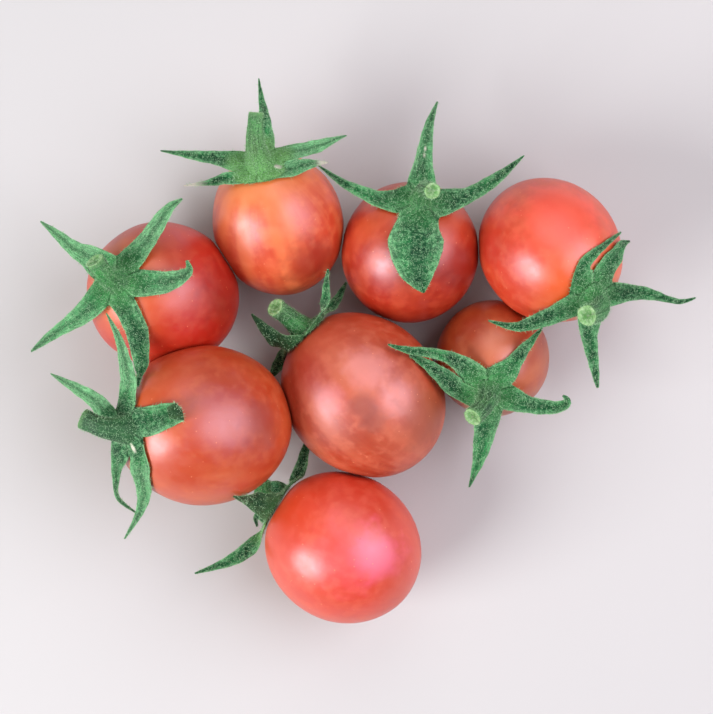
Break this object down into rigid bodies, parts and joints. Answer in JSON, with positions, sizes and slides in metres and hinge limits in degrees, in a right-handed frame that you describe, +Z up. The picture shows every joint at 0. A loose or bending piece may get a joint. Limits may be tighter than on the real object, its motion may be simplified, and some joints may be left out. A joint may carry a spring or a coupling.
{
  "type": "truss of cherry tomatoes",
  "caption": "Cluster of ripe oval cherry tomatoes lying touching one another, each with its star-shaped green calyx and a short cut stem.",
  "frame": {"origin": "middle of the truss's box, on the surface that the fruits rest on", "axes": "+Z up, +X along the truss's longest side, +Y away from a person who looks at the truss with its lowest fruit towards them"},
  "size_m": [0.1152, 0.0974, 0.0347],
  "materials": {
    "red_skin": "satin-gloss waxy skin, orange-red with a deeper red where it is shaded",
    "coral_skin": "satin-gloss waxy skin, pinkish coral red",
    "orange_skin": "satin-gloss waxy skin, orange brown with pale veins under it",
    "calyx_green": "matt leaf with a fine felt of short pale hairs",
    "pedicel_green": "matt green stem with short hairs and a pale cut end"
  },
  "bodies": {
    "root": {"fruit_upper_left": "red_skin", "calyx_upper_left": "calyx_green", "pedicel_upper_left": "pedicel_green", "fruit_top_left": "red_skin", "calyx_top_left": "calyx_green", "pedicel_top_left": "pedicel_green", "fruit_top_middle": "red_skin", "calyx_top_middle": "calyx_green", "pedicel_top_middle": "pedicel_green", "fruit_top_right": "coral_skin", "calyx_top_right": "calyx_green", "pedicel_top_right": "pedicel_green", "fruit_small_right": "orange_skin", "calyx_small_right": "calyx_green", "pedicel_small_right": "pedicel_green", "fruit_middle": "orange_skin", "calyx_middle": "calyx_green", "pedicel_middle": "pedicel_green", "fruit_lower_left": "red_skin", "calyx_lower_left": "calyx_green", "pedicel_lower_left": "pedicel_green", "fruit_bottom": "coral_skin", "calyx_bottom": "calyx_green", "pedicel_bottom": "pedicel_green"}
  },
  "joints": []
}
